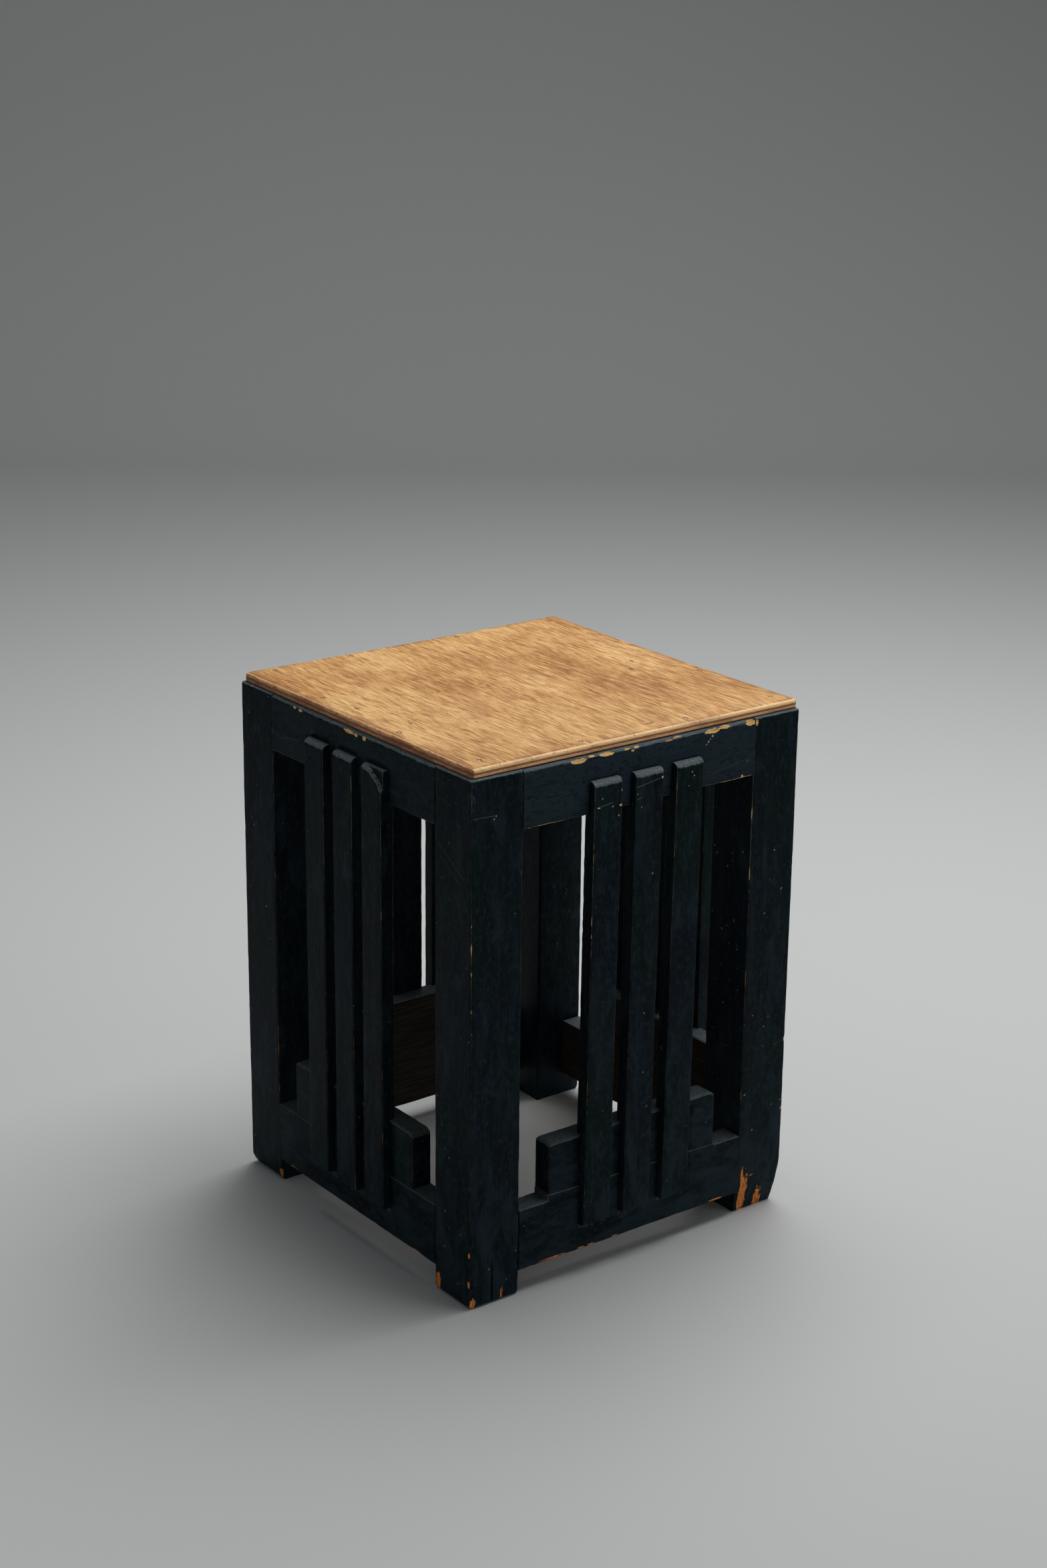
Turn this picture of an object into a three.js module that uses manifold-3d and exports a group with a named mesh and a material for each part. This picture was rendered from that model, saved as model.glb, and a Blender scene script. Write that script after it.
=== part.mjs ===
// A square wooden stool: four posts joined by rails top and bottom, a stepped
// block on each bottom rail, three upright slats let into each side, and a
// plywood top held down with pins.
// Millimetres, +Z up, origin on the floor under the middle of the stool.

import * as THREE from 'three';
import { mergeVertices } from 'three/addons/utils/BufferGeometryUtils.js';
import Module from 'manifold-3d';

const wasm = await Module();
wasm.setup();

// ---------------------------------------------------------------- dimensions

const GAP = 0.3; // left between pieces that touch

const FRAME_WIDTH = 320; // over the posts, the same both ways
const FRAME_HEIGHT = 430.7;
const POST_WIDTH = 47;
const BOARD_THICKNESS = 19; // of the rails and the step blocks

const TOP_RAIL_HEIGHT = 47.2;
const BOTTOM_RAIL_BOTTOM = 20;
const BOTTOM_RAIL_TOP = 72;

const BLOCK_LENGTH = 169;
const BLOCK_TOP = 120.3;

const SLAT_COUNT = 3; // on each side
const SLAT_THICKNESS = 11.5;
const SLAT_PROUD = 6.2; // how far a slat stands out from the rails
const SLAT_BOTTOM = 43;
const SLAT_TOP = 410;
const SLAT_TOP_ROUND = 5.4; // radius that rounds the top of a slat's outer face

const TENON_LENGTH = 28;
const TENON_THICKNESS = 9;
const TENON_SETBACK = 5; // from the outer face of the rail
const TENON_SHOULDER = 13; // above and below the tenon

const PANEL_WIDTH = 318;
const PANEL_DEPTH = 316.4;
const PANEL_THICKNESS = 7;
const PANEL_SHIFT_X = 1.4; // how far the top sits right of the middle
const PANEL_SHIFT_Y = 0.8; // and behind it
const PANEL_EDGE_ROUND = 2.2;
const PANEL_SHARP_CORNER = 2.6;
const PANEL_ROUND_CORNER = 5;

const PIN_LENGTH = 18;
const PIN_RADIUS = 0.7;
const PIN_POINT = 3;
const PIN_HEAD_RADIUS = 1.3;
const PIN_HEAD_HEIGHT = 0.9;
const PIN_HEAD_TAPER = 0.3; // under the head
const PIN_SINK = 0.2; // how far the heads are below the surface
const PIN_SIDES = 10;

// Radii that ease the edges, for the corners in the order that roundedRect takes.
const POST_EDGES = [1.6, 0.8, 1.5, 0.8];
const POST_TOP_EDGE = 1.2;
const TOP_RAIL_EDGES = [1.2, 1, 0.6, 3];
const BOTTOM_RAIL_EDGES = [1.2, 1, 1, 1.5];
const BLOCK_EDGES = { alongX: [0, 0, 1.5, 2.5], alongY: [0, 0, 4, 3], alongZ: [2.2, 2.2, 1, 1] };
const SLAT_EDGES = { alongX: [1.5, 0, 0, SLAT_TOP_ROUND], alongZ: [1, 1, 0, 0] };

const SPLINTER_DEPTH = 3.3;

const PAST = 1; // how far a cutter runs past the face that it cuts

// Where the pins were driven, as [x, y]: four at the corners and two a side.
const PIN_PLACES = [
  [-139, -140], [-50, -147], [53, -146], [146, -140],
  [149, -50], [149, 58], [146, 146], [48, 149],
  [-60, 149], [-135, 148], [-146, 60], [-148, -50],
];

// The four sides, each turned a quarter from the last. slat is the width of a
// slat and pitch the distance from one to the next, shift is how far the block
// and the slats sit right of the middle, lean how far the tops of the slats are
// right of their feet, and rise how much the bottom rail stands up under the
// left and right ends of its block.
const SIDES = [
  { name: 'front', slat: 27, pitch: 40, shift: 1, lean: 3.5, rise: [5.5, 1.5] },
  { name: 'right', slat: 30, pitch: 41, shift: 0, lean: 0, rise: [0, 0] },
  { name: 'back', slat: 30, pitch: 41, shift: 0, lean: 0, rise: [0, 0] },
  { name: 'left', slat: 27, pitch: 40, shift: -3, lean: 0, rise: [0, 0] },
];

// The post at the left end of each side, and how its foot is worn: how far in,
// and how far up.
const POSTS = [
  { name: 'post_front_left', wear: [2, 4] },
  { name: 'post_front_right', wear: [7, 26] },
  { name: 'post_back_right', wear: [2, 4] },
  { name: 'post_back_left', wear: [4, 9] },
];

// -------------------------------------------------------------------- places

const HALF_FRAME = FRAME_WIDTH / 2;
const RAIL_REACH = HALF_FRAME - POST_WIDTH; // from the middle to a post
const TOP_RAIL_BOTTOM = FRAME_HEIGHT - TOP_RAIL_HEIGHT;
const BOTTOM_RAIL_HEIGHT = BOTTOM_RAIL_TOP - BOTTOM_RAIL_BOTTOM;
const SLAT_LENGTH = SLAT_TOP - SLAT_BOTTOM;
const SLAT_HOUSED = SLAT_THICKNESS - SLAT_PROUD;
const PANEL_BOTTOM = FRAME_HEIGHT + GAP;
const PANEL_TOP = PANEL_BOTTOM + PANEL_THICKNESS;
const QUARTER_TURN = Math.PI / 2;

// ----------------------------------------------------------------- materials

const PAINT = { color: 0x1b2529, roughness: 0.45, metalness: 0 };
const PLYWOOD = { color: 0xcb9c69, roughness: 0.5, metalness: 0 };
const STEEL = { color: 0xc9c4ba, roughness: 0.35, metalness: 1 };

// ------------------------------------------------------------ shapes, solids

// A rectangle over the ranges u and v, with a radius for each corner:
// [low u low v, high u low v, high u high v, low u high v].
function roundedRect(u, v, [lowLow, highLow, highHigh, lowHigh]) {
  const [u0, u1] = u;
  const [v0, v1] = v;
  const shape = new THREE.Shape();
  const corner = (x, y, radius, start) => {
    if (radius > 0) shape.absarc(x, y, radius, start, start + QUARTER_TURN);
    else shape.lineTo(x, y);
  };
  shape.moveTo(u0 + lowLow, v0);
  corner(u1 - highLow, v0 + highLow, highLow, -QUARTER_TURN);
  corner(u1 - highHigh, v1 - highHigh, highHigh, 0);
  corner(u0 + lowHigh, v1 - lowHigh, lowHigh, QUARTER_TURN);
  corner(u0 + lowLow, v0 + lowLow, lowLow, 2 * QUARTER_TURN);
  return shape;
}

function polygon(points) {
  return new THREE.Shape(points.map(([x, y]) => new THREE.Vector2(x, y)));
}

// Prisms along each axis. A shape is drawn in y and z, x and z, or x and y.
const X_AXIS = new THREE.Vector3(1, 0, 0);
const Y_AXIS = new THREE.Vector3(0, 1, 0);
const Z_AXIS = new THREE.Vector3(0, 0, 1);
const DRAWN_IN_YZ = new THREE.Matrix4().makeBasis(Y_AXIS, Z_AXIS, X_AXIS);
const DRAWN_IN_XZ = new THREE.Matrix4().makeBasis(X_AXIS, Z_AXIS, Y_AXIS.clone().negate());

function prismAlongZ(shape, [from, to], curveSegments = 2) {
  const settings = { depth: to - from, bevelEnabled: false, curveSegments };
  return new THREE.ExtrudeGeometry(shape, settings).translate(0, 0, from);
}

function prismAlongX(shape, range) {
  return prismAlongZ(shape, range).applyMatrix4(DRAWN_IN_YZ);
}

function prismAlongY(shape, [from, to]) {
  return prismAlongZ(shape, [-to, -from]).applyMatrix4(DRAWN_IN_XZ);
}

function box([x0, x1], [y0, y1], [z0, z1]) {
  const geometry = new THREE.BoxGeometry(x1 - x0, y1 - y0, z1 - z0);
  return geometry.translate((x0 + x1) / 2, (y0 + y1) / 2, (z0 + z1) / 2);
}

function solidOf(geometry) {
  const bare = geometry.clone();
  bare.deleteAttribute('normal');
  bare.deleteAttribute('uv');
  const welded = mergeVertices(bare, 1e-4);
  return new wasm.Manifold(new wasm.Mesh({
    numProp: 3,
    vertProperties: new Float32Array(welded.attributes.position.array),
    triVerts: new Uint32Array(welded.index.array),
  }));
}

function geometryOf(solid) {
  const mesh = solid.getMesh();
  const geometry = new THREE.BufferGeometry();
  geometry.setAttribute('position', new THREE.BufferAttribute(mesh.vertProperties, 3));
  geometry.setIndex(new THREE.BufferAttribute(mesh.triVerts, 1));
  geometry.computeVertexNormals();
  return geometry;
}

function cutAll(solid, cutters) {
  return cutters.reduce((rest, cutter) => rest.subtract(solidOf(cutter)), solid);
}

// A piece of wood with eased edges: what is common to prisms along two or
// three axes, each with its own corner radii.
function easedBlock(x, y, z, { alongX, alongY, alongZ }) {
  const longer = ([from, to]) => [from - PAST, to + PAST];
  const prisms = [];
  if (alongX) prisms.push(prismAlongX(roundedRect(y, z, alongX), longer(x)));
  if (alongY) prisms.push(prismAlongY(roundedRect(x, z, alongY), longer(y)));
  if (alongZ) prisms.push(prismAlongZ(roundedRect(x, y, alongZ), longer(z)));
  return prisms.map(solidOf).reduce((whole, prism) => whole.intersect(prism));
}

function meshOf(name, solid, look) {
  const mesh = new THREE.Mesh(geometryOf(solid), new THREE.MeshStandardMaterial(look));
  mesh.name = name;
  return mesh;
}

// ---------------------------------------------------------------------- pins

// Profiles from the axis round to the axis again, as [radius, height].
function turned(profile) {
  const points = profile.map(([radius, height]) => new THREE.Vector2(radius, height));
  return new THREE.LatheGeometry(points, PIN_SIDES).rotateX(QUARTER_TURN);
}

function pinSolid() {
  const neck = -PIN_HEAD_HEIGHT;
  return solidOf(turned([
    [0, -PIN_LENGTH],
    [PIN_RADIUS, -PIN_LENGTH + PIN_POINT],
    [PIN_RADIUS, neck],
    [PIN_HEAD_RADIUS, neck + PIN_HEAD_TAPER],
    [PIN_HEAD_RADIUS, 0],
    [0, 0],
  ]));
}

function pinHole() {
  const ledge = -PIN_HEAD_HEIGHT - GAP;
  return turned([
    [0, -PIN_LENGTH - GAP],
    [PIN_RADIUS + GAP, -PIN_LENGTH - GAP],
    [PIN_RADIUS + GAP, ledge],
    [PIN_HEAD_RADIUS + GAP, ledge + GAP],
    [PIN_HEAD_RADIUS + GAP, PIN_SINK + PAST],
    [0, PIN_SINK + PAST],
  ]);
}

// The holes that pass through a piece that stands on the given place, turned by
// the given angle: those whose pins are over its footprint, give or take.
function pinHolesAt(place, angle, halfLength, halfWidth) {
  const toPiece = new THREE.Matrix4().makeRotationZ(angle).setPosition(place).invert();
  return PIN_PLACES
    .map(([x, y]) => new THREE.Vector3(x, y, PANEL_TOP - PIN_SINK).applyMatrix4(toPiece))
    .filter(({ x, y }) => Math.abs(x) < halfLength && Math.abs(y) < halfWidth)
    .map(({ x, y, z }) => pinHole().translate(x, y, z));
}

// --------------------------------------------------------------------- posts

// A foot's outline in one face of the post: the outer corner is worn away.
function footOutline([wornIn, wornUp]) {
  const half = POST_WIDTH / 2;
  const shape = new THREE.Shape();
  shape.moveTo(-half + wornIn, 0);
  shape.lineTo(half, 0);
  shape.lineTo(half, FRAME_HEIGHT);
  shape.lineTo(-half + POST_TOP_EDGE, FRAME_HEIGHT);
  shape.absarc(
    -half + POST_TOP_EDGE,
    FRAME_HEIGHT - POST_TOP_EDGE,
    POST_TOP_EDGE,
    QUARTER_TURN,
    2 * QUARTER_TURN,
  );
  shape.lineTo(-half, wornUp);
  shape.quadraticCurveTo(-half, wornUp * 0.25, -half + wornIn, 0);
  return shape;
}

// The mortise for a rail whose bottom is at the given height, in the face of
// the post that looks along +X.
function mortise(railBottom, railHeight) {
  const half = POST_WIDTH / 2;
  const front = -half + TENON_SETBACK;
  return box(
    [half - TENON_LENGTH - GAP, half + PAST],
    [front - GAP, front + TENON_THICKNESS + GAP],
    [railBottom + TENON_SHOULDER - GAP, railBottom + railHeight - TENON_SHOULDER + GAP],
  );
}

function postSolid(wear, pinHoles) {
  const half = POST_WIDTH / 2;
  const width = [-half, half];
  const outline = footOutline(wear);
  const longWidth = [-half - PAST, half + PAST];
  const upright = prismAlongZ(roundedRect(width, width, POST_EDGES), [-PAST, FRAME_HEIGHT + PAST]);
  const faceA = prismAlongY(outline, longWidth);
  const faceB = prismAlongX(outline, longWidth);
  const mortises = [
    mortise(TOP_RAIL_BOTTOM, TOP_RAIL_HEIGHT),
    mortise(BOTTOM_RAIL_BOTTOM, BOTTOM_RAIL_HEIGHT),
  ];
  const swapped = new THREE.Matrix4().makeRotationZ(QUARTER_TURN).scale(new THREE.Vector3(1, -1, 1));
  const otherMortises = mortises.map((cut) => mirrored(cut, swapped));
  const post = solidOf(upright).intersect(solidOf(faceA)).intersect(solidOf(faceB));
  return cutAll(post, [...mortises, ...otherMortises, ...pinHoles]);
}

// A copy under a matrix that mirrors, with its faces turned out again.
function mirrored(geometry, matrix) {
  const copy = geometry.clone().applyMatrix4(matrix);
  const order = copy.index.array;
  for (let i = 0; i < order.length; i += 3) {
    [order[i], order[i + 1]] = [order[i + 1], order[i]];
  }
  return copy;
}

// --------------------------------------------------------- rails, blocks, slats

// Where each slat of a side stands, from the middle of the side's outer face.
function slatMatrices(side) {
  const angle = Math.asin(side.lean / SLAT_LENGTH);
  const middle = (SLAT_COUNT - 1) / 2;
  return Array.from({ length: SLAT_COUNT }, (_, index) => new THREE.Matrix4()
    .makeRotationY(angle)
    .setPosition(side.shift + (index - middle) * side.pitch, 0, (SLAT_BOTTOM + SLAT_TOP) / 2));
}

// The housings for a side's slats, for a piece whose origin is at the given height.
function slatHousings(side, height) {
  const halfWidth = side.slat / 2 + GAP;
  const halfLength = SLAT_LENGTH / 2 + GAP;
  const housing = box([-halfWidth, halfWidth], [-SLAT_PROUD, SLAT_HOUSED + GAP], [-halfLength, halfLength]);
  return slatMatrices(side).map((matrix) => housing.clone().applyMatrix4(matrix).translate(0, 0, -height));
}

function railSolid(height, radii) {
  const reach = RAIL_REACH - GAP;
  const section = roundedRect([0, BOARD_THICKNESS], [0, height], radii);
  const tenons = box(
    [-RAIL_REACH - TENON_LENGTH + GAP, RAIL_REACH + TENON_LENGTH - GAP],
    [TENON_SETBACK, TENON_SETBACK + TENON_THICKNESS],
    [TENON_SHOULDER, height - TENON_SHOULDER],
  );
  return solidOf(prismAlongX(section, [-reach, reach])).add(solidOf(tenons));
}

function topRailSolid(side, pinHoles) {
  const rail = railSolid(TOP_RAIL_HEIGHT, TOP_RAIL_EDGES);
  return cutAll(rail, [...slatHousings(side, TOP_RAIL_BOTTOM), ...pinHoles]);
}

// The line that the block and the bottom rail meet on, above the rail's own top.
function jointHeight(side, x) {
  const [left, right] = side.rise;
  return left + (right - left) * ((x - side.shift) / BLOCK_LENGTH + 0.5);
}

function bottomRailSolid(side) {
  const rail = railSolid(BOTTOM_RAIL_HEIGHT, BOTTOM_RAIL_EDGES);
  const left = side.shift - BLOCK_LENGTH / 2;
  const right = side.shift + BLOCK_LENGTH / 2;
  const land = polygon([
    [left, BOTTOM_RAIL_HEIGHT / 2],
    [right, BOTTOM_RAIL_HEIGHT / 2],
    [right, BOTTOM_RAIL_HEIGHT + jointHeight(side, right)],
    [left, BOTTOM_RAIL_HEIGHT + jointHeight(side, left)],
  ]);
  const whole = rail.add(solidOf(prismAlongY(land, [0, BOARD_THICKNESS])));
  return cutAll(whole, slatHousings(side, BOTTOM_RAIL_BOTTOM));
}

function blockSolid(side) {
  const half = BLOCK_LENGTH / 2;
  const top = BLOCK_TOP - BOTTOM_RAIL_TOP;
  const length = [side.shift - half, side.shift + half];
  const foot = -PAST;
  const block = easedBlock(length, [0, BOARD_THICKNESS], [foot, top], BLOCK_EDGES);
  const below = polygon([
    [length[0] - PAST, foot - PAST],
    [length[1] + PAST, foot - PAST],
    [length[1] + PAST, jointHeight(side, length[1]) + GAP],
    [length[0] - PAST, jointHeight(side, length[0]) + GAP],
  ]);
  const underside = prismAlongY(below, [-PAST, BOARD_THICKNESS + PAST]);
  return cutAll(block, [underside, ...slatHousings(side, BOTTOM_RAIL_TOP)]);
}

function slatSolid(side) {
  const half = side.slat / 2;
  const halfLength = SLAT_LENGTH / 2;
  const thickness = [-SLAT_PROUD, SLAT_HOUSED];
  return easedBlock([-half, half], thickness, [-halfLength, halfLength], SLAT_EDGES);
}

// The splinter that broke off the top right corner of one slat's outer face.
function splinter(side) {
  const right = side.slat / 2;
  const top = SLAT_LENGTH / 2;
  const outline = polygon([
    [right - 20, top + PAST],
    [right - 20, top],
    [right - 11.5, top - 2],
    [right - 3.2, top - 9.5],
    [right - 1.5, top - 14],
    [right + PAST, top - 16],
    [right + PAST, top + PAST],
  ]);
  return prismAlongY(outline, [-SLAT_PROUD - PAST, -SLAT_PROUD + SPLINTER_DEPTH]);
}

// ----------------------------------------------------------------- plywood top

function panelSolid() {
  const halfWidth = PANEL_WIDTH / 2;
  const halfDepth = PANEL_DEPTH / 2;
  const sharp = PANEL_SHARP_CORNER;
  const round = PANEL_ROUND_CORNER;
  const corners = [sharp, round, round, round];
  const outline = roundedRect([-halfWidth, halfWidth], [-halfDepth, halfDepth], corners);
  // Rounded over above and below, then cut off flat at half its height.
  const geometry = new THREE.ExtrudeGeometry(outline, {
    depth: 2 * (PANEL_THICKNESS - PANEL_EDGE_ROUND),
    bevelThickness: PANEL_EDGE_ROUND,
    bevelSize: PANEL_EDGE_ROUND,
    bevelOffset: -PANEL_EDGE_ROUND,
    bevelSegments: 3,
    curveSegments: 3,
  });
  geometry.translate(0, 0, PANEL_EDGE_ROUND - PANEL_THICKNESS);
  const lowerHalf = box(
    [-halfWidth - PAST, halfWidth + PAST],
    [-halfDepth - PAST, halfDepth + PAST],
    [-PANEL_THICKNESS - PAST, 0],
  );
  const place = new THREE.Vector3(PANEL_SHIFT_X, PANEL_SHIFT_Y, PANEL_BOTTOM);
  return cutAll(solidOf(geometry), [lowerHalf, ...pinHolesAt(place, 0, halfWidth, halfDepth)]);
}

// --------------------------------------------------------------------- stool

function buildSide(side, post, quarter) {
  const angle = quarter * QUARTER_TURN;
  const group = new THREE.Group();
  group.rotation.z = angle;
  const onFace = (name, solid, height) => {
    const mesh = meshOf(name, solid, PAINT);
    mesh.position.set(0, -HALF_FRAME, height);
    group.add(mesh);
  };

  const corner = -HALF_FRAME + POST_WIDTH / 2;
  const postPlace = new THREE.Vector3(corner, corner, 0).applyAxisAngle(Z_AXIS, angle);
  const postHoles = pinHolesAt(postPlace, angle, POST_WIDTH / 2, POST_WIDTH / 2);
  const postMesh = meshOf(post.name, postSolid(post.wear, postHoles), PAINT);
  postMesh.position.set(corner, corner, 0);
  group.add(postMesh);

  const railPlace = new THREE.Vector3(0, -HALF_FRAME, TOP_RAIL_BOTTOM).applyAxisAngle(Z_AXIS, angle);
  const railHoles = pinHolesAt(railPlace, angle, RAIL_REACH, BOARD_THICKNESS);
  onFace(`${side.name}_top_rail`, topRailSolid(side, railHoles), TOP_RAIL_BOTTOM);
  onFace(`${side.name}_bottom_rail`, bottomRailSolid(side), BOTTOM_RAIL_BOTTOM);
  onFace(`${side.name}_step_block`, blockSolid(side), BOTTOM_RAIL_TOP);

  slatMatrices(side).forEach((matrix, index) => {
    const place = ['left', 'middle', 'right'][index];
    const splintered = side.name === 'left' && place === 'right';
    const slat = cutAll(slatSolid(side), splintered ? [splinter(side)] : []);
    const mesh = meshOf(`${side.name}_slat_${place}`, slat, PAINT);
    mesh.position.setFromMatrixPosition(matrix);
    mesh.position.y = -HALF_FRAME;
    mesh.rotation.setFromRotationMatrix(matrix);
    group.add(mesh);
  });
  return group;
}

const stool = new THREE.Group();
stool.name = 'stool';
SIDES.forEach((side, quarter) => stool.add(buildSide(side, POSTS[quarter], quarter)));

const panel = meshOf('top_panel', panelSolid(), PLYWOOD);
panel.position.set(PANEL_SHIFT_X, PANEL_SHIFT_Y, PANEL_BOTTOM);
stool.add(panel);

PIN_PLACES.forEach(([x, y], index) => {
  const pin = meshOf(`panel_pin_${String(index + 1).padStart(2, '0')}`, pinSolid(), STEEL);
  pin.position.set(x, y, PANEL_TOP - PIN_SINK);
  stool.add(pin);
});

export default stool;
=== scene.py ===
"""A small square painted stool with a plywood top: its fine surfaces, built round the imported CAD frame.

Every wooden piece is a closed grid of quads on its CAD node's box. It is shaped in millimetres in the
frame of its own side, where x runs along the side from left to right, y is -160 at the outer face and z
is up, and then turned into place.
"""

import math

import bpy
import numpy as np
from mathutils import Matrix, Vector


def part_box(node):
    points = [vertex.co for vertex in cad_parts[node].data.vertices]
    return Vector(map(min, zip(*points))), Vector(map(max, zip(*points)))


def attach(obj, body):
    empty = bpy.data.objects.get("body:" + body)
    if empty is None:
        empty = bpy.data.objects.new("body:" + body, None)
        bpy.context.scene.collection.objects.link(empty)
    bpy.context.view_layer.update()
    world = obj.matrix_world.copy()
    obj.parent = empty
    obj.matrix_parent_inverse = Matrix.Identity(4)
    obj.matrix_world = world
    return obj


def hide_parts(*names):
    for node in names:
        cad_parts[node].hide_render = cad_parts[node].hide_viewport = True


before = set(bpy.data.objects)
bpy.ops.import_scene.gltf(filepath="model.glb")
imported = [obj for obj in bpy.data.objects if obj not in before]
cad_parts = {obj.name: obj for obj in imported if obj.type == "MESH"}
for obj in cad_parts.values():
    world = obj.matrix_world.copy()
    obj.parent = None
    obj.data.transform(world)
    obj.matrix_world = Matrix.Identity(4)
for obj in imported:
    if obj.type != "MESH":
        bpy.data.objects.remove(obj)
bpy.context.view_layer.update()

MM = 0.001
GAP = 0.3  # between pieces that touch, in mm, as in the CAD
SIDES = ("front", "right", "back", "left")  # each a quarter turn from the last
POSTS = (  # at each side's left end
    "post_front_left",
    "post_front_right",
    "post_back_right",
    "post_back_left",
)
SLATS = ("left", "middle", "right")

# Shapes that the nodes' boxes don't give, in mm.
SLAT_WIDTH = {"front": 27, "right": 30, "back": 30, "left": 27}
SLAT_PROUD = 6.2
SLAT_TOP_ROUND = 5.4
SLAT_PITCH = {"front": 40, "right": 41, "back": 41, "left": 40}
BLOCK_SHIFT = {"front": 1, "right": 0, "back": 0, "left": -3}  # of the block and the slats
SLAT_LEAN = {"front": 3.5}  # how far the slats' tops are right of their feet
JOINT_RISE = {"front": (5.5, 1.5)}  # the rail under the left and right ends of its block
FOOT_WEAR = {  # how far in and how far up the outer corner of each foot is worn
    "post_front_left": (2, 4),
    "post_front_right": (5.5, 42),
    "post_back_right": (2, 4),
    "post_back_left": (4, 9),
}

# The crack where one slat's corner broke off, as (in from the right edge, down from the top).
SPLINTER = ((0, 16.5), (2.5, 13.5), (4.3, 11.2), (9.7, 6.8), (17, 3), (24, 0))
SPLINTER_DEPTH = 3.3
PANEL_SHARP = 2.6  # radius of the panel's near corner
PANEL_ROUND = 5  # and of its other corners
PANEL_EDGE_ROUND = 2.9
PANEL_BOW_RIGHT = 2.6  # how far the middle of the panel's right edge is worn in
PANEL_BOW_BACK = 2.2
PIN_HOLE_RADIUS = 1.5
PIN_HOLE_DEPTH = 1.3
PIN_HEAD = (  # radius, and depth under the top
    (0.6, 0.0), (1.0, 0.05), (1.22, 0.16), (1.3, 0.35), (1.26, 0.62), (0.75, 0.9),
)
PIN_SHANK_RADIUS = 0.7
PIN_POINT_RADIUS = 0.1
PIN_POINT_LENGTH = 3
CIRCLE_SIDES = 20
CIRCLE = [
    (math.cos(2 * math.pi * i / CIRCLE_SIDES), math.sin(2 * math.pi * i / CIRCLE_SIDES))
    for i in range(CIRCLE_SIDES)
]

# A piece's faces, as (axis, low -1 or high 1), and the radii of the edges between them.
LEFT, RIGHT = (0, -1), (0, 1)
OUTER, INNER = (1, -1), (1, 1)
BOTTOM, TOP = (2, -1), (2, 1)
POST_EDGES = (
    (LEFT, OUTER, 1.7), (RIGHT, OUTER, 1.1), (LEFT, INNER, 1.1), (RIGHT, INNER, 1.6),
    (LEFT, TOP, 1.6), (LEFT, BOTTOM, 1.5), (RIGHT, BOTTOM, 1.0),
    (OUTER, TOP, 1.6), (OUTER, BOTTOM, 1.5), (INNER, BOTTOM, 1.0),
)
TOP_RAIL_EDGES = ((OUTER, TOP, 3.2), (OUTER, BOTTOM, 1.3), (INNER, BOTTOM, 1))
BOTTOM_RAIL_EDGES = ((OUTER, BOTTOM, 0.8), (INNER, BOTTOM, 1), (OUTER, TOP, 1))
BLOCK_EDGES = (
    (OUTER, TOP, 2.6), (INNER, TOP, 1.6),
    (LEFT, TOP, 4), (LEFT, OUTER, 2.3), (LEFT, INNER, 1.2),
    (RIGHT, TOP, 6.5), (RIGHT, OUTER, 2.3), (RIGHT, INNER, 1.2),
)
SLAT_EDGES = (
    (OUTER, TOP, SLAT_TOP_ROUND), (OUTER, BOTTOM, 1.5), (LEFT, OUTER, 1.2), (RIGHT, OUTER, 1.2),
)
PANEL_CORNERS = (
    (LEFT, OUTER, PANEL_SHARP), (LEFT, INNER, PANEL_ROUND),
    (RIGHT, OUTER, PANEL_ROUND), (RIGHT, INNER, PANEL_ROUND),
)

# Grid spacing, in mm.
EDGE_LINES = (0, 0.4, 0.9, 1.5, 2.3, 3.3, 4.8, 7)  # from an edge of a piece
COARSE = 7
FINE = 1
STEP_HALF = 0.04  # half the width of the wall where a face steps

FACE_DEPTH = 0.6  # a point less deep than this, in mm, is on a piece's worn face
PAINT_REACH = 6  # how far the paint goes in from a board's outer face, in mm
SEEDS = 97  # the seed made from a piece's name is under this

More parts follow.
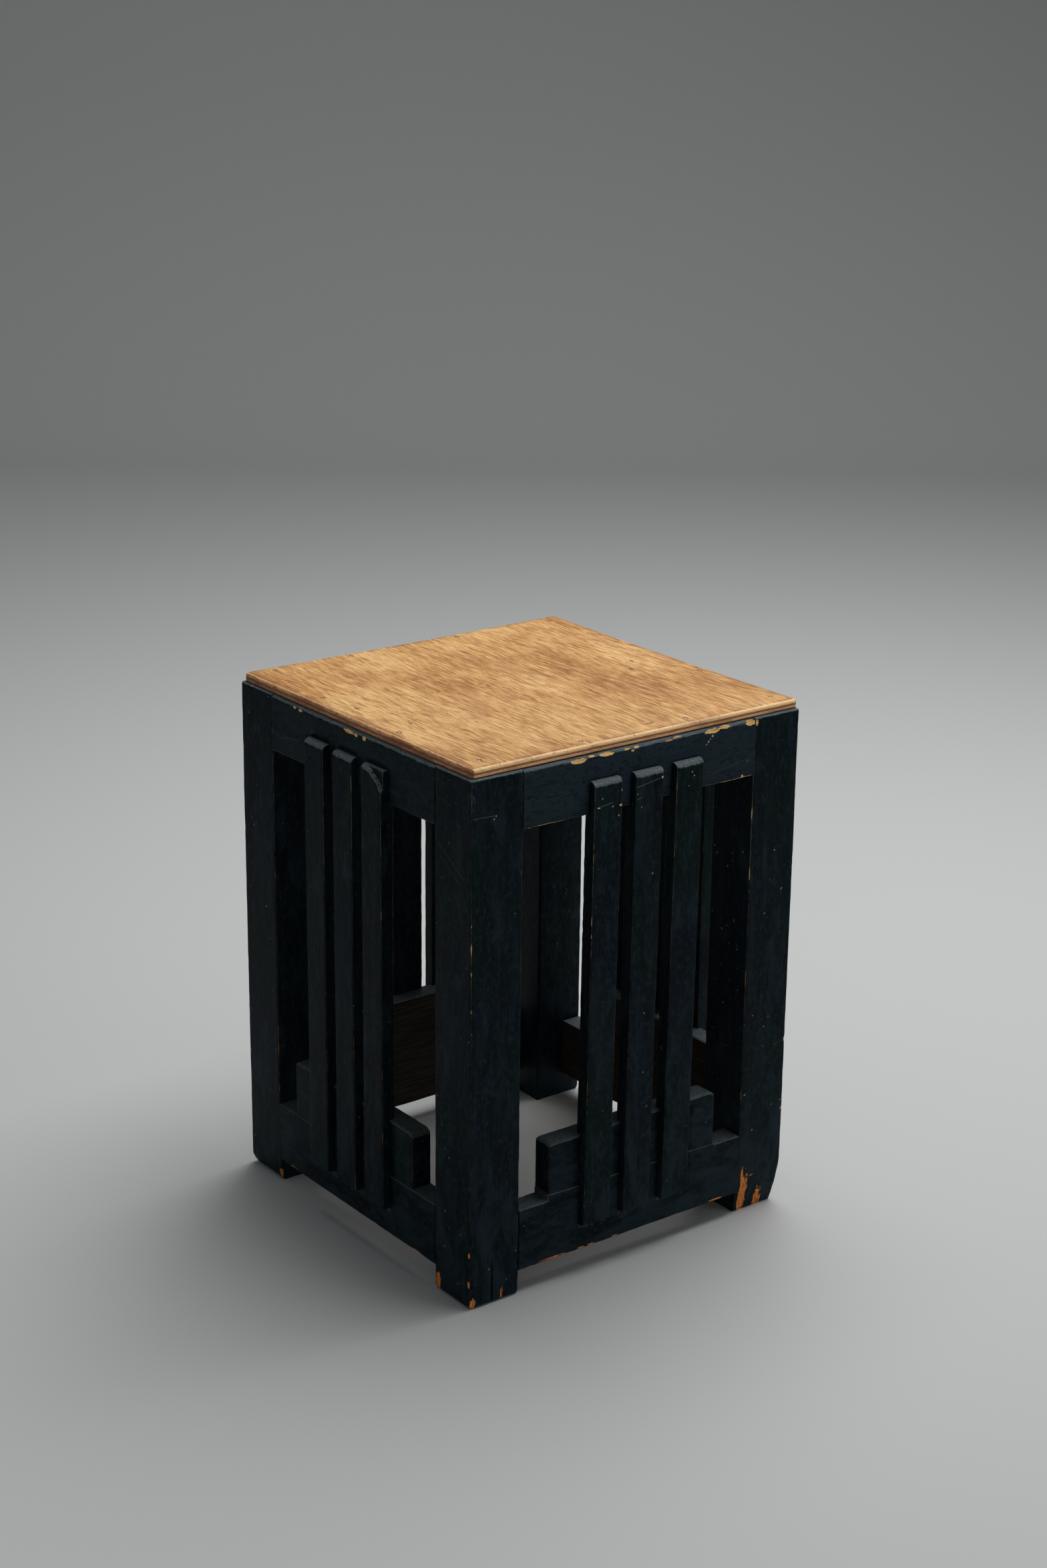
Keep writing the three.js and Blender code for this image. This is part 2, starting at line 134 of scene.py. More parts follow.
# Paint chips down to the wood, as (middle, half size, depth) in the stool's x, y and z, in mm.
CHIPS = {
    "front_top_rail": [
        ((-63, -160, 428), (7, 4, 1.9), 0.5), ((-51, -160, 429.6), (3.2, 4, 0.9), 0.3),
        ((-37.5, -160, 428.7), (7.6, 4, 1.5), 0.5), ((-17.4, -160, 429.2), (2.2, 4, 0.8), 0.3),
        ((-12, -160, 426.8), (1.3, 4, 0.8), 0.3), ((-8, -160, 429), (2.4, 4, 1.1), 0.3),
        ((23, -160, 428.5), (3.2, 4, 0.6), 0.2), ((32, -160, 429.8), (4.5, 4, 0.5), 0.2),
        ((69, -160, 428), (8, 4, 1.8), 0.5), ((80, -160, 429.2), (7, 4, 1.2), 0.4),
        ((108.5, -160, 428.2), (4.6, 5, 2.6), 0.6), ((-92, -160, 383.6), (21, 1, 0.6), 0.1),
        ((94, -160, 383.6), (18, 1, 0.6), 0.1), ((101.5, -160, 385.4), (1, 2, 1.2), 0.2),
    ],
    "front_bottom_rail": [
        ((-81, -160, 21.5), (14, 2, 0.7), 0.1), ((-49, -160, 21.4), (3.5, 2, 0.6), 0.1),
        ((-40, -160, 21.4), (4, 2, 0.6), 0.1), ((-15.5, -160, 21.4), (3.5, 2, 0.6), 0.1),
        ((89, -160, 21.4), (8, 2.5, 0.8), 0.1),
    ],
    "left_top_rail": [
        ((-160, 1, 427.8), (4, 7, 1.5), 0.4), ((-160, -9, 427.4), (4, 2, 1.4), 0.3),
        ((-160, -19.5, 427.4), (4, 2.2, 1.8), 0.4), ((-160, 70, 427.6), (4, 3, 1.2), 0.3),
        ((-160, 79, 428.2), (4, 2, 1), 0.3),
    ],
    "left_bottom_rail": [
        ((-160, -88, 20.5), (2, 8, 1.2), 0.5), ((-160, 92, 20.5), (2, 6, 1.2), 0.5),
    ],
    "post_front_left": [
        ((-157, -160, 4), (2.8, 3, 5.5), 0.8), ((-160, -158, 22), (1, 1.2, 3), 0.3),
        ((-160, -158.4, 47), (0.8, 1, 2), 0.2), ((-160, -160, 318), (0.8, 0.8, 3), 0.2),
        ((-160, -160, 300), (0.9, 0.9, 9), 0.2), ((-160, -160, 279), (0.8, 0.8, 5), 0.2),
        ((-160, -160, 250), (0.7, 0.7, 4), 0.2), ((-160, -117.5, 8), (3, 3.2, 8), 0.8),
        ((-129.4, -160, 6), (0.9, 2, 6.5), 0.8), ((-113, -160, 350), (0.7, 0.8, 7), 0.2),
    ],
    "post_front_right": [
        ((120.8, -160, 5), (4.5, 9, 30), 1.2), ((118.6, -160, 34), (1.3, 9, 9), 0.8),
        ((138.5, -160, -2), (4.8, 9, 18), 1.0), ((129, -160, 31.5), (3.4, 3, 0.6), 0.3),
        ((160, -160, 147), (2.2, 2, 3), 0.5), ((159, -160, 85), (2.4, 1.5, 1), 0.4),
        ((115, -160, 426.5), (1.4, 2, 2.6), 0.3), ((113, -160, 352), (0.6, 0.8, 6), 0.2),
        ((113, -160, 300), (0.5, 0.7, 9), 0.2),
    ],
    "post_back_left": [
        ((-160, 114, 5), (2.5, 2.4, 6), 0.7), ((-160, 160, 3), (3, 3, 5), 0.7),
    ],
    "post_back_right": [
        ((160, 157, 3), (2, 4, 9), 0.9), ((160, 118, 6), (2, 3.4, 14), 0.9),
    ],
    "front_slat_left": [
        ((-49, -166.2, 389.8), (1.3, 1.2, 0.6), 0.2), ((-27, -166.2, 388.4), (2.2, 1.5, 0.8), 0.3),
        ((-26, -166.2, 400), (1, 1.5, 1.2), 0.3), ((-52.5, -166.2, 300), (0.6, 0.8, 4), 0.2),
        ((-52.5, -166.2, 288), (0.5, 0.8, 3), 0.2),
    ],
    "front_slat_middle": [((13, -166.2, 402.6), (1.4, 2, 0.8), 0.3)],
    "back_top_rail": [
        ((30, 160, 428.5), (10, 4, 2), 0.5), ((-74, 160, 428.5), (6, 4, 1.6), 0.5),
        ((12, 160, 428.8), (2.4, 4, 1), 0.3),
    ],
    "right_top_rail": [
        ((160, -52, 428.5), (4, 8, 1.9), 0.5), ((160, 88, 428), (4, 5, 1.8), 0.5),
    ],
    "right_bottom_rail": [((160, 40, 20.5), (2, 12, 1.3), 0.6)],
    "back_bottom_rail": [((-60, 160, 20.5), (9, 2, 1.4), 0.6)],
}

# Splits and dents, deep and narrow, given the same way. Inside them the paint is near black: painted shade.
SPLITS = {
    "post_front_left": [
        ((-138.7, -160, 10), (0.7, 3, 27), 2.8), ((-134.2, -160, 412), (0.3, 2, 3.6), 0.8),
    ],
    "post_front_right": [((147, -160, 20.5), (4.5, 3, 0.7), 1.2)],
    "front_top_rail": [((9, -160, 415), (0.3, 2, 4), 0.8)],
    "left_slat_left": [((-166.2, 46, 396), (2, 3, 0.6), 0.6)],
    "top_panel": [
        ((146, 152, 438), (3, 1, 0.8), 0.6), ((157, 64, 438), (2.2, 4, 1.6), 1.2),
        ((156.5, -40, 438), (2, 2.6, 1.4), 0.9),
    ],
}

# Scores in the paint, as (start, end, half width) in mm, by the axis that the grain runs along.
SCORES = {
    0: [
        ((62, -160, 392), (108, -160, 399), 0.16), ((-100, -160, 400), (-70, -160, 405), 0.15),
    ],
    1: [((-160, 60, 404), (-160, 96, 399), 0.15)],
    2: [
        ((-159, -160, 401.3), (-137.5, -160, 400.3), 0.2),
        ((-48.5, -166, 390), (-34, -166, 391.8), 0.26),
        ((-11, -166, 398.8), (12, -166, 402.4), 0.24), ((-10, -166, 389), (-5, -166, 390), 0.2),
        ((-160, -150, 352), (-160, -118, 372), 0.1), ((-160, -146, 346), (-160, -120, 362), 0.08),
    ],
}

# Light dots where the paint is nicked, as (middle, radius) in mm, by the same axis.
NICKS = {
    0: [
        ((69.9, -160, 424.6), 1.0), ((67.6, -160, 422.4), 0.6), ((65.8, -160, 420.5), 0.8),
        ((64, -160, 418.5), 0.6),
    ],
    1: [],
    2: [
        ((-137.2, -160, 400.4), 0.6), ((-139.2, -160, 398.3), 0.6), ((-43, -166.2, 397), 0.6),
        ((-33, -166.2, 389), 0.6), ((-27, -166.2, 381), 0.7), ((-9, -166.2, 394), 0.5),
        ((-5, -166.2, 383), 0.5), ((45, -166.2, 402), 0.6), ((47, -166.2, 398.5), 0.6),
        ((42, -166.2, 391), 0.5),
    ],
}


# ------------------------------------------------------------------ helpers


def box_mm(node, quarter=0):
    """A node's lowest and highest corners in mm, in the frame of the side so many quarter turns round."""
    corners = np.array(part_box(node)) / MM
    turned = turn(corners, -quarter)
    return turned.min(0), turned.max(0)


def turn(points, quarter):
    """Points turned so many quarter turns about the upright axis."""
    angle = quarter * math.pi / 2
    c, s = round(math.cos(angle)), round(math.sin(angle))
    x, y, z = np.asarray(points, float).T
    return np.stack([c * x - s * y, s * x + c * y, z], axis=-1)


def value_noise(points, size, seed=0):
    """Smooth noise from 0 to 1 at points in mm, with bumps about that size."""
    places = np.asarray(points, float) / size + seed * 31.7
    cell = np.floor(places).astype(np.int64)
    part = places - cell
    part = part * part * (3 - 2 * part)
    total = np.zeros(len(places))
    for corner in np.ndindex(2, 2, 2):
        at = cell + corner
        mixed = at[:, 0] * 73856093 ^ at[:, 1] * 19349663 ^ at[:, 2] * 83492791 ^ seed * 2654435
        mixed = (mixed ^ (mixed >> 13)) * 1274126177
        share = np.prod(np.where(np.array(corner) == 1, part, 1 - part), axis=1)
        total += share * (((mixed ^ (mixed >> 16)) & 0xFFFF) / 0xFFFF)
    return total


def grid_lines(low, high, coarse=COARSE, steps=(), fine=()):
    """A piece's grid lines: close at both ends and over the fine ranges, and a pair at each step."""
    kept = [low, high] + [at + side * STEP_HALF for at in steps for side in (-1, 1)]

    def fill(lines, apart):
        for line in lines:
            if low < line < high and min(abs(line - other) for other in kept) > apart:
                kept.append(line)

    fill([low + e for e in EDGE_LINES] + [high - e for e in EDGE_LINES], 0.3)
    for start, end in fine:
        fill(np.arange(start, end, FINE), 0.6 * FINE)
    count = max(1, round((high - low) / coarse))
    fill(np.linspace(low, high, count + 1), 0.5 * coarse)
    return np.array(sorted(kept))


def closed_lattice(lines):
    """The points and the outward quads of a box's surface, from its grid lines along each axis."""
    shape = [len(line) for line in lines]
    ids = np.arange(np.prod(shape)).reshape(shape)
    quads = []
    for axis in range(3):
        for end in (0, -1):
            sheet = np.take(ids, end, axis=axis)
            if axis == 1:
                sheet = sheet.T
            corners = [sheet[:-1, :-1], sheet[1:, :-1], sheet[1:, 1:], sheet[:-1, 1:]]
            quad = np.stack(corners, axis=-1).reshape(-1, 4)
            quads.append(quad if end else quad[:, ::-1])
    used, faces = np.unique(np.concatenate(quads), return_inverse=True)
    places = np.unravel_index(used, shape)
    points = np.stack([lines[axis][places[axis]] for axis in range(3)], axis=-1)
    return points, faces.reshape(-1, 4)


def eased(depth, other_depth, radius):
    """How far points move out across two faces, from their depths under both, to round the edge between."""
    u, v = np.clip(1 - depth / radius, 0, 1), np.clip(1 - other_depth / radius, 0, 1)
    longest = np.maximum(u, v)
    angle = np.minimum(u, v) / np.maximum(longest, 1e-9) * math.pi / 4
    flat, steep = longest * np.cos(angle), longest * np.sin(angle)
    new_u, new_v = np.where(u >= v, flat, steep), np.where(u >= v, steep, flat)
    return radius * (new_u - u), radius * (new_v - v)


def new_object(name, points, faces, material=None):
    """A mesh object in the scene, from points in mm. It is smooth if it has a material, and so is shown."""
    mesh = bpy.data.meshes.new(name)
    mesh.from_pydata((np.asarray(points) * MM).tolist(), [], faces)
    if material:
        mesh.polygons.foreach_set("use_smooth", [True] * len(faces))
        mesh.materials.append(material)
    piece = bpy.data.objects.new(name, mesh)
    bpy.context.scene.collection.objects.link(piece)
    return piece


class Wood:
    """A wooden piece while it is shaped: its grid, and what its surface is like at each point."""

    def __init__(self, node, quarter, low, high, coarse=COARSE, steps=((), (), ()), fine=((), (), ())):
        self.node, self.quarter = node, quarter
        self.low, self.high = np.array(low, float), np.array(high, float)
        fine = [list(own) + marked for own, marked in zip(fine, self.fine_ranges())]
        lines = [grid_lines(low[a], high[a], coarse, steps[a], fine[a]) for a in range(3)]
        self.points, self.faces = closed_lattice(lines)
        count = len(self.points)
        self.seed = sum(ord(letter) * (at + 1) for at, letter in enumerate(node)) % SEEDS
        self.marks = {name: np.zeros(count) for name in ("arris", "rub_and_highlight", "bare", "raw", "crease_shade_and_dirt")}
        self.middle = (self.low + self.high) / 2

    def marks_of(self, table):
        """This piece's chips or splits, in the frame of its side."""
        for at, half, depth in table.get(self.node, ()):
            size = np.abs(turn([half], -self.quarter))[0]
            yield turn([at], -self.quarter)[0], size, depth

    def fine_ranges(self):
        ranges = ([], [], [])
        for table in (CHIPS, SPLITS):
            for at, half, _ in self.marks_of(table):
                for axis in range(3):
                    reach = 1.5 * half[axis] + 1.2
                    ranges[axis].append((at[axis] - reach, at[axis] + reach))
        return ranges

    def depth_from(self, face):
        """How deep each point is under that face."""
        axis, side = face
        places = self.points[:, axis]
        return places - self.low[axis] if side < 0 else self.high[axis] - places

    def mark_arrises(self, axes, reach=2.6):
        """Marks the edges where faces across these axes meet, for the wear on them."""
        nearest = [np.minimum(self.depth_from((a, -1)), self.depth_from((a, 1))) for a in axes]
        second = np.sort(np.stack(nearest), axis=0)[1]
        self.marks["arris"] = np.exp(-second / reach)

    def round_edges(self, edges):
        """Rounds edges one after another, each between two faces given as (axis, side)."""
        for first, second, radius in edges:
            moves = eased(self.depth_from(first), self.depth_from(second), radius)
            for (axis, side), move in zip((first, second), moves):
                self.points[:, axis] += side * move

    def inward(self, across):
        """Unit vectors from each point towards the piece's middle line, which is square to these axes."""
        towards = np.zeros_like(self.points)
        for axis in across:
            reach = (self.high[axis] - self.low[axis]) / 2
            offset = (self.middle[axis] - self.points[:, axis]) / reach
            towards[:, axis] = np.sign(offset) * np.abs(offset) ** 9
        return towards / np.maximum(np.linalg.norm(towards, axis=1, keepdims=True), 1e-9)

    def weather(self, across, wear=0.6, wave=0.2):
        """Uneven faces, worn arrises, chips and splits: everything goes inwards. Splits are marked for
        painted shade.
        """
        towards = self.inward(across)
        ragged = value_noise(self.points, 5, self.seed) ** 2
        ragged = ragged + 0.5 * value_noise(self.points, 1.7, self.seed + 1) ** 3
        soft = value_noise(self.points, 45, self.seed + 2)
        push = wear * ragged * self.marks["arris"] ** 2 + wave * soft
        for table, mark, edge in ((CHIPS, "bare", 0.95), (SPLITS, "crease_shade_and_dirt", 1)):
            for at, half, depth in self.marks_of(table):
                reach = self.reach(at, half)
                self.marks[mark] = np.maximum(self.marks[mark], np.clip(1.6 - reach, 0, 1))
                push += depth * np.clip((edge - reach) * 3, 0, 1)
        self.points += towards * push[:, None]

    def reach(self, at, half):
        """Distance from a mark's middle, where 1 is its edge. The edge is uneven."""
        uneven = 1 + 0.4 * (value_noise(self.points, 2.5, self.seed + 3) - 0.5)
        return np.linalg.norm((self.points - at) / half, axis=1) * uneven

    def finish(self, material, slot="painted_wood"):
        """Makes the Blender object, in place of the CAD node."""
        places = turn(self.points, self.quarter)
        piece = new_object(f"{self.node}_skin", places, self.faces.tolist(), material)
        mesh = piece.data
        self.marks["seed"] = np.full(len(self.points), self.seed / SEEDS)
        for name, values in self.marks.items():
            attribute = mesh.attributes.new(name, "FLOAT", "POINT")
            attribute.data.foreach_set("value", values.astype(np.float32))
        mesh.validate()
        mesh.update()
        normals = np.empty(3 * len(self.points), np.float32)
        mesh.vertex_normals.foreach_get("vector", normals)
        # Faces that point up get a painted highlight, as if lit from above, on top of any rubbed wear.
        facing_up = np.clip((normals.reshape(-1, 3)[:, 2] - 0.1) / 0.3, 0, 1)
        rub_and_highlight = np.maximum(self.marks["rub_and_highlight"], facing_up).astype(np.float32)
        mesh.attributes["rub_and_highlight"].data.foreach_set("value", rub_and_highlight)
        return stand_for(piece, self.node)


def stand_for(piece, node):
    """The piece is shown in place of the CAD node, which is hidden, and hangs from the root body."""
    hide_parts(node)
    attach(piece, "root")
    return piece


# ---------------------------------------------------------------- materials


def srgb(*channels):
    """A colour given from 0 to 255 as on a screen, in the renderer's own linear values."""
    shares = [channel / 255 for channel in channels]
    return tuple(c / 12.92 if c <= 0.04045 else ((c + 0.055) / 1.055) ** 2.4 for c in shares) + (1.0,)


class Graph:
    """Adds nodes to one new material. Each call returns the node's output."""

    def __init__(self, name):
        self.material = bpy.data.materials.new(name)
        self.material.use_nodes = True
        self.tree = self.material.node_tree
        self.shader = self.tree.nodes["Principled BSDF"]

    def node(self, kind, **inputs):
        node = self.tree.nodes.new(f"ShaderNode{kind}")
        self.fill(node, inputs)
        return node

    def fill(self, node, inputs):
        for name, value in inputs.items():
            self.set(node.inputs[name.replace("_", " ")], value)

    def set(self, socket, value):
        if isinstance(value, bpy.types.NodeSocket):
            self.tree.links.new(value, socket)
        else:
            socket.default_value = value

    def surface(self, **inputs):
        self.fill(self.shader, inputs)

    def place(self):
        """Where a point is on the stool, in metres."""
        return self.node("TexCoord").outputs["Object"]

    def place_in_wood(self):
        """The same, offset by the piece's own seed, so that no two pieces have the same wood."""
        offset = self.vector("SCALE", (1.0, 0.7, 1.3), scale=self.mark("seed"))
        return self.vector("ADD", self.place(), offset)

    def mark(self, name):
        node = self.node("Attribute")
        node.attribute_name = name
        return node.outputs["Fac"]

    def vector(self, operation, first, second=None, scale=None):
        node = self.node("VectorMath")
        node.operation = operation
        self.set(node.inputs[0], first)
        if second is not None:
            self.set(node.inputs[1], second)
        if scale is not None:
            self.set(node.inputs["Scale"], scale)
        return node.outputs["Value" if operation in ("LENGTH", "DOT_PRODUCT") else "Vector"]

    def math(self, operation, *values):
        node = self.node("Math")
        node.operation = operation
        for socket, value in zip(node.inputs, values):
            self.set(socket, value)
        return node.outputs[0]

    def times(self, first, second):
        return self.math("MULTIPLY", first, second)

    def most(self, first, second):
        return self.math("MAXIMUM", first, second)

    def plus(self, first, second):
        return self.math("ADD", first, second)

    def minus(self, first, second):
        return self.math("SUBTRACT", first, second)

    def noise(self, at, stretch=(1, 1, 1), detail=2.0, roughness=0.5, distortion=0.0):
        """Noise from 0 to 1, with the stretch as bumps per metre along each axis."""
        stretched = self.vector("MULTIPLY", at, tuple(float(s) for s in stretch))
        settings = {"Scale": 1.0, "Detail": detail, "Roughness": roughness, "Distortion": distortion}
        return self.node("TexNoise", Vector=stretched, **settings).outputs["Fac"]

    def cells(self, at, scale):
        """Scattered points: how far off the nearest is, three random numbers of its own, and its place."""
        node = self.node("TexVoronoi", Vector=at, Scale=scale)
        split = self.node("SeparateColor", Color=node.outputs["Color"])
        return node.outputs["Distance"], tuple(split.outputs)[:3], node.outputs["Position"]

    def join(self, x, y, z):
        return self.node("CombineXYZ", X=x, Y=y, Z=z).outputs[0]

    def parts(self, vector):
        return tuple(self.node("SeparateXYZ", Vector=vector).outputs)

    def ease(self, value, start, end):
        """0 at start and before, 1 at end and after, and smooth between."""
        low, high, bottom, top = (start, end, 0.0, 1.0) if start < end else (end, start, 1.0, 0.0)
        node = self.node("MapRange", Value=value, From_Min=low, From_Max=high, To_Min=bottom, To_Max=top)
        node.interpolation_type = "SMOOTHSTEP"
        return node.outputs["Result"]

    def blend(self, share, low, high):
        """A colour between two, by the share."""
        node = self.node("Mix")
        node.data_type = "RGBA"
        self.set(node.inputs[0], share)
        self.set(node.inputs[6], low)
        self.set(node.inputs[7], high)
        return node.outputs[2]

    def tint(self, colour, other, mask, strength):
        """The colour turned towards the other, by the mask times the strength."""
        return self.blend(self.times(mask, strength), colour, other)

    def lerp(self, share, low, high):
        node = self.node("Mix")
        for index, value in ((0, share), (2, low), (3, high)):
            self.set(node.inputs[index], value)
        return node.outputs[0]

    def ramp(self, value, stops):
        """A colour by the value, from stops of (value, colour) in rising order."""
        node = self.node("ValToRGB")
        self.set(node.inputs[0], value)
        elements = node.color_ramp.elements
        for _ in stops[2:]:
            elements.new(0.5)
        for element, (_, colour) in zip(elements, stops):
            element.color = colour
        for index in reversed(range(len(stops))):  # from the last, so that none passes another
            elements[index].position = stops[index][0]
        return node.outputs[0]

    def bump(self, height, depth_mm, strength=1.0, under=None):
        node = self.node("Bump", Strength=strength, Distance=depth_mm * MM, Height=height)
        if under is not None:
            self.set(node.inputs["Normal"], under)
        return node.outputs["Normal"]


BLUE_BLACK = srgb(9, 21, 31)
GREEN_BLACK = srgb(8, 26, 26)
DEEP = srgb(4, 9, 12)
HAZE = srgb(34, 48, 55)
RAIL_PAINTED_LIGHT = srgb(44, 60, 70)
TOP_RAIL_PAINTED_LIGHT = (0.75, 0.2, 0.0)  # how much painted light the top rails get, by their grain's axis
# Greys for rubbed and scuffed paint, used also for the painted highlight on up-facing surfaces.
RUBBED_AND_HIGHLIGHT = srgb(116, 124, 126)
SCUFFED_AND_HIGHLIGHT = srgb(70, 86, 90)
FLECK = srgb(205, 200, 176)
WORN_GREY = srgb(96, 93, 84)
WORN_BROWN = srgb(74, 54, 34)
BARE_TAN = srgb(254, 208, 134)
TAN_GRAIN = srgb(214, 150, 84)
BARE_ORANGE = srgb(240, 152, 80)
ORANGE_GRAIN = srgb(170, 90, 42)
# Bare inside wood, darker than the wood is: painted shade over its brown.
SHADED_RAW_BROWN = srgb(66, 60, 53)
SHADED_RAW_GRAIN = srgb(48, 43, 38)
# Near black for splits and under the splinter's broken edge: painted shade.
CREASE_SHADE = srgb(3, 3, 3)

# Heights between which the paint changes, in metres. Over the first pair the top rails get their painted
# light; over the second the painted highlight on up-facing surfaces grows stronger.
RAIL_HEIGHTS = (0.36, 0.4)
HIGH_HEIGHTS = (0.2, 0.34)
FLOOR_HEIGHTS = (0.16, 0.02)


def paint(name, axis):
    """Old brushed paint on wood whose grain runs along the axis."""
    g = Graph(name)
    on_stool, at = g.place(), g.place_in_wood()
    height = g.parts(on_stool)[2]

    def grained(lengthwise, across, **look):
        """Noise with so many bumps per metre along the grain and across it."""
        return g.noise(at, [lengthwise if a == axis else across for a in range(3)], **look)

    strokes = grained(34, 460, detail=4, roughness=0.62)
    broad = grained(11, 90, detail=3, roughness=0.6)
    mottle = grained(170, 300, detail=5, roughness=0.72)
    cloud = g.noise(at, (13, 13, 10), detail=3, roughness=0.6)
    bloom = grained(26, 60, detail=5, roughness=0.7, distortion=0.5)
    ragged = grained(110, 760, detail=4, roughness=0.7)
    loose = g.minus(ragged, 0.5)

    colour = g.blend(g.ease(cloud, 0.4, 0.6), BLUE_BLACK, GREEN_BLACK)
    # Painted light: the top rails are lighter and bluer, the front and back ones most, as if lit from above
    # and in front.
    painted_top_light = g.times(g.ease(height, *RAIL_HEIGHTS), TOP_RAIL_PAINTED_LIGHT[axis])
    colour = g.blend(painted_top_light, colour, RAIL_PAINTED_LIGHT)
    colour = g.tint(colour, DEEP, g.ease(strokes, 0.48, 0.34), 0.45)
    colour = g.tint(colour, DEEP, g.ease(mottle, 0.5, 0.38), 0.6)
    colour = g.tint(colour, HAZE, g.ease(mottle, 0.52, 0.66), 0.7)
    colour = g.tint(colour, HAZE, g.ease(strokes, 0.5, 0.7), 0.26)
    colour = g.tint(colour, HAZE, g.ease(broad, 0.46, 0.68), 0.34)
    near_floor = g.times(g.ease(height, *FLOOR_HEIGHTS), 0.12)
    colour = g.tint(colour, HAZE, g.ease(g.plus(bloom, near_floor), 0.5, 0.74), 0.85)

    scratches = g.most(
        scratch_mask(g, at, per_metre=34, half_length=0.011, half_width=0.00024, share=0.4),
        scratch_mask(g, at, per_metre=95, half_length=0.0042, half_width=0.0002, share=0.35),
    )
    colour = g.tint(colour, SCUFFED_AND_HIGHLIGHT, scratches, 0.4)
    colour = g.tint(colour, RUBBED_AND_HIGHLIGHT, score_mask(g, on_stool, axis), 0.45)
    colour = g.tint(colour, FLECK, speck_mask(g, at), 0.7)
    colour = g.tint(colour, FLECK, nick_mask(g, on_stool, axis), 0.85)

    high_up = g.ease(height, *HIGH_HEIGHTS)
    worn_edge = g.ease(g.plus(g.mark("arris"), g.times(loose, 1.1)), 0.72, 1.0)
    patchy = g.ease(grained(9, 20, detail=3, roughness=0.6), 0.36, 0.6)
    worn_edge = g.times(worn_edge, g.plus(0.22, g.times(patchy, 0.56)))
    colour = g.blend(worn_edge, colour, g.blend(high_up, WORN_BROWN, WORN_GREY))
    speckle = g.noise(at, (1100, 1100, 700), detail=3, roughness=0.7)
    streaky = g.plus(g.times(g.minus(mottle, 0.5), 1.6), g.times(loose, 1.2))
    streaky = g.plus(g.mark("rub_and_highlight"), streaky)
    # Painted highlight with rubbed wear: lighter on up-facing surfaces and rubbed places, and more so
    # higher up.
    rubbed_and_highlit = g.times(g.ease(streaky, 0.38, 0.95), g.lerp(high_up, 0.55, 0.9))
    colour = g.blend(rubbed_and_highlit, colour, g.blend(g.ease(speckle, 0.36, 0.62), SCUFFED_AND_HIGHLIGHT, RUBBED_AND_HIGHLIGHT))

    line = g.times(g.ease(g.mark("arris"), 0.84, 0.96), g.ease(ragged, 0.44, 0.52))
    shown = g.ease(grained(30, 30, detail=3), 0.56, 0.63)
    line = g.times(line, g.times(shown, 0.45 if axis == 2 else 0.12))
    torn = g.plus(loose, g.minus(mottle, 0.5))
    chips = g.ease(g.plus(g.mark("bare"), torn), 0.54, 0.6)
    bare = g.most(line, chips)
    grain = grained(30, 900, detail=3)
    wood = g.blend(high_up, BARE_ORANGE, BARE_TAN)
    wood = g.blend(g.ease(grain, 0.46, 0.66), wood, g.blend(high_up, ORANGE_GRAIN, TAN_GRAIN))
    colour = g.blend(bare, colour, wood)
    # The unpainted inside faces: bare wood, darkened with painted shade.
    raw = g.ease(g.plus(g.mark("raw"), g.times(loose, 0.8)), 0.45, 0.6)
    colour = g.blend(raw, colour, g.blend(g.ease(grain, 0.4, 0.6), SHADED_RAW_BROWN, SHADED_RAW_GRAIN))
    # Splits and the step under the splinter: painted shade.
    colour = g.blend(g.ease(g.mark("crease_shade_and_dirt"), 0.35, 0.7), colour, CREASE_SHADE)

    gloss = g.plus(0.36, g.times(strokes, 0.24))
    ridges = g.bump(g.plus(strokes, g.times(broad, 1.2)), 0.16, 0.7)
    broken = g.bump(g.minus(1.0, g.most(bare, scratches)), 0.2, 0.8, ridges)
    g.surface(
        Base_Color=colour,
        Roughness=g.lerp(g.most(bare, raw), gloss, 0.75),
        Specular_IOR_Level=0.05,
        Normal=broken,
    )
    return g.material


def scratch_mask(g, at, per_metre, half_length, half_width, share):
    """Short straight scratches in any direction: a share of the cells of a scattered grid have one each."""
    _, (bearing, pick, strength), middle = g.cells(at, per_metre)
    offset = g.vector("SUBTRACT", at, middle)
    angle = g.times(bearing, math.pi)
    c, s = g.math("COSINE", angle), g.math("SINE", angle)
    aside = g.vector("DOT_PRODUCT", offset, g.join(s, s, g.times(c, -1.0)))
    ahead = g.vector("DOT_PRODUCT", offset, g.join(c, c, s))
    thin = g.ease(g.math("ABSOLUTE", aside), half_width, 0.3 * half_width)
    short = g.ease(g.math("ABSOLUTE", ahead), half_length, 0.4 * half_length)
    shown = g.times(g.math("GREATER_THAN", pick, 1 - share), strength)
    return g.times(g.times(thin, short), shown)


def score_mask(g, at, axis):
    """The long scores, each the points near a line between two places."""
    total = 0.0
    for start, end, half_width in SCORES[axis]:
        first, last = Vector(start) * MM, Vector(end) * MM
        run = last - first
        offset = g.vector("SUBTRACT", at, tuple(first))
        share = g.vector("DOT_PRODUCT", offset, tuple(run / run.length_squared))
        share = g.math("MINIMUM", g.most(share, 0.0), 1.0)
        nearest = g.vector("SCALE", tuple(run), scale=share)
        away = g.vector("LENGTH", g.vector("SUBTRACT", offset, nearest))
        total = g.most(total, g.ease(away, 2 * half_width * MM, half_width * MM))
    return total


def nick_mask(g, at, axis):
    total = 0.0
    shaken = g.vector("SCALE", (MM, MM, MM), scale=g.noise(at, (900, 900, 900)))
    at = g.vector("ADD", at, shaken)
    for middle, radius in NICKS[axis]:
        nick = spot(g, at, middle, (radius, radius * 2, radius))
        total = g.most(total, nick)
    return total


